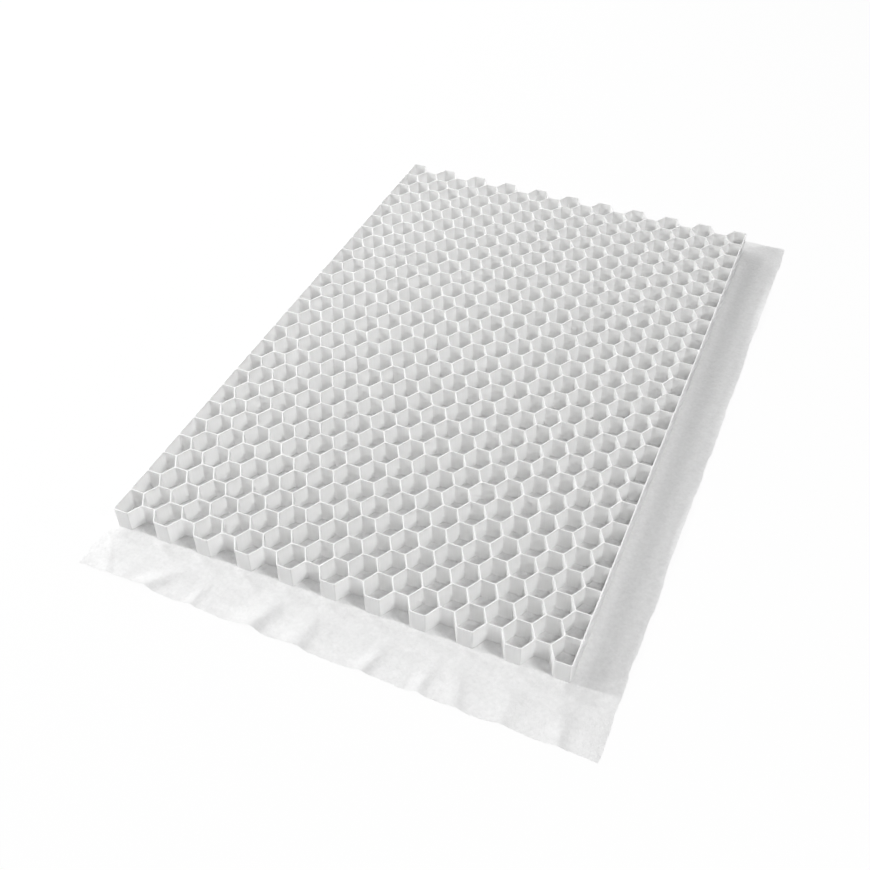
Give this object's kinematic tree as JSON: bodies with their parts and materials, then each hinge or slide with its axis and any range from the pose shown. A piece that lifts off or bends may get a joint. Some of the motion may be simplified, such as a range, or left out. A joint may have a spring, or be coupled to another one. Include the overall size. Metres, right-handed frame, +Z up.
{
  "type": "gravel grid",
  "caption": "Flat honeycomb plate of white plastic with straight sides and stepped ends, bonded to a white geotextile sheet with two overlap flaps, holds gravel in its cells.",
  "frame": {"origin": "middle of the honeycomb plate's footprint, on the underside of the geotextile", "axes": "+Z up out of the cells; +Y along the long side, from the front flap to the back; +X across the columns, towards the side with the flap"},
  "size_m": [0.876, 1.339, 0.041],
  "materials": {
    "honeycomb_plastic": "white polypropylene, satin, faint upright die lines on the walls",
    "nonwoven_geotextile": "white non-woven polypropylene, soft wrinkles in the flaps"
  },
  "bodies": {
    "root": {"honeycomb_left": "honeycomb_plastic", "honeycomb_middle": "honeycomb_plastic", "honeycomb_right": "honeycomb_plastic", "geotextile": "nonwoven_geotextile"}
  },
  "joints": []
}
